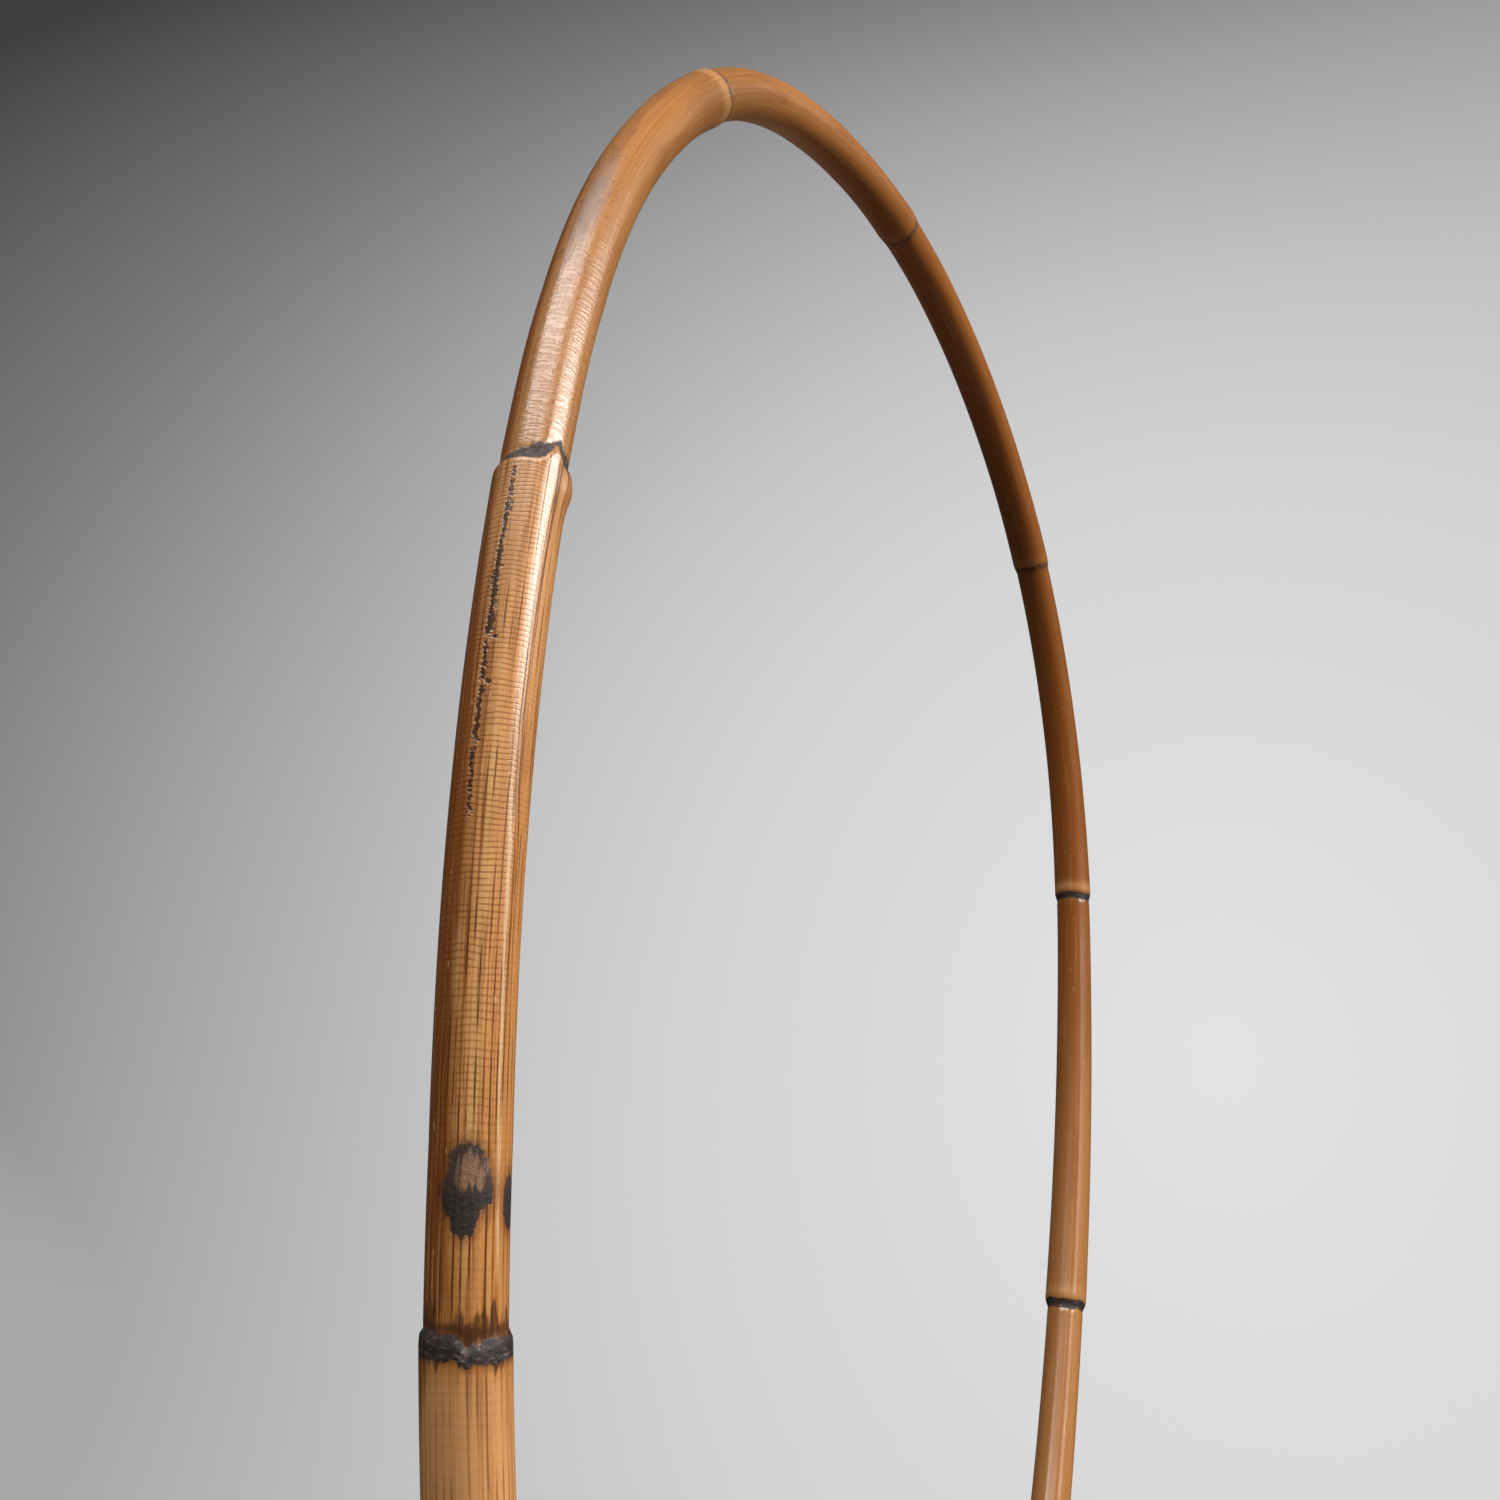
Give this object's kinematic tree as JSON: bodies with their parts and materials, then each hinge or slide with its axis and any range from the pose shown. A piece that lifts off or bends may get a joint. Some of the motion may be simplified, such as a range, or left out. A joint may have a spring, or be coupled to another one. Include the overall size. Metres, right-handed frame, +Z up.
{
  "type": "bamboo vase",
  "caption": "Tapered woven bamboo flower basket with a tall bent-cane arched handle, clamped hoops at rim and foot, a slatted floor and a loose bamboo water tube.",
  "frame": {"origin": "on the table under the middle of the basket, at the middle of the foot", "axes": "+Z up from the table, X across the basket in the plane of the handle with the near leg at -X, Y square to the handle"},
  "size_m": [0.2397, 0.1598, 0.459],
  "materials": {
    "handle_skin": "smoked and lacquered, gloss",
    "stake_splint": "lacquered, satin",
    "weaver_strip": "lacquered, satin",
    "hoop_strip": "lacquered, gloss",
    "lashing_cane": "lacquered, gloss",
    "floor_slat": "bare, satin",
    "peg_bamboo": "bare, satin",
    "tube_culm": "aged skin, satin"
  },
  "bodies": {
    "basket": {"stakes": "stake_splint", "foot_outer_hoop": "hoop_strip", "foot_inner_hoop": "hoop_strip", "floor_slats": "floor_slat", "floor_battens": "floor_slat", "weaver_01": "weaver_strip", "weaver_02": "weaver_strip", "weaver_03": "weaver_strip", "weaver_04": "weaver_strip", "weaver_05": "weaver_strip", "weaver_06": "weaver_strip", "weaver_07": "weaver_strip", "weaver_08": "weaver_strip", "weaver_09": "weaver_strip", "weaver_10": "weaver_strip", "weaver_11": "weaver_strip", "weaver_12": "weaver_strip", "rim_outer_hoop": "hoop_strip", "rim_inner_hoop": "hoop_strip", "rim_lashing": "lashing_cane", "handle_cane": "handle_skin", "handle_pegs": "peg_bamboo", "handle_lashing_near_lower": "lashing_cane", "handle_lashing_near_upper": "lashing_cane", "handle_lashing_far_lower": "lashing_cane", "handle_lashing_far_upper": "lashing_cane"},
    "water_tube": {"water_tube": "tube_culm"}
  },
  "joints": [
    {"name": "water_tube_lift", "type": "slide", "parent": "basket", "child": "water_tube", "axis": [0, 0, 1], "range_m": [0, 0.155]}
  ]
}
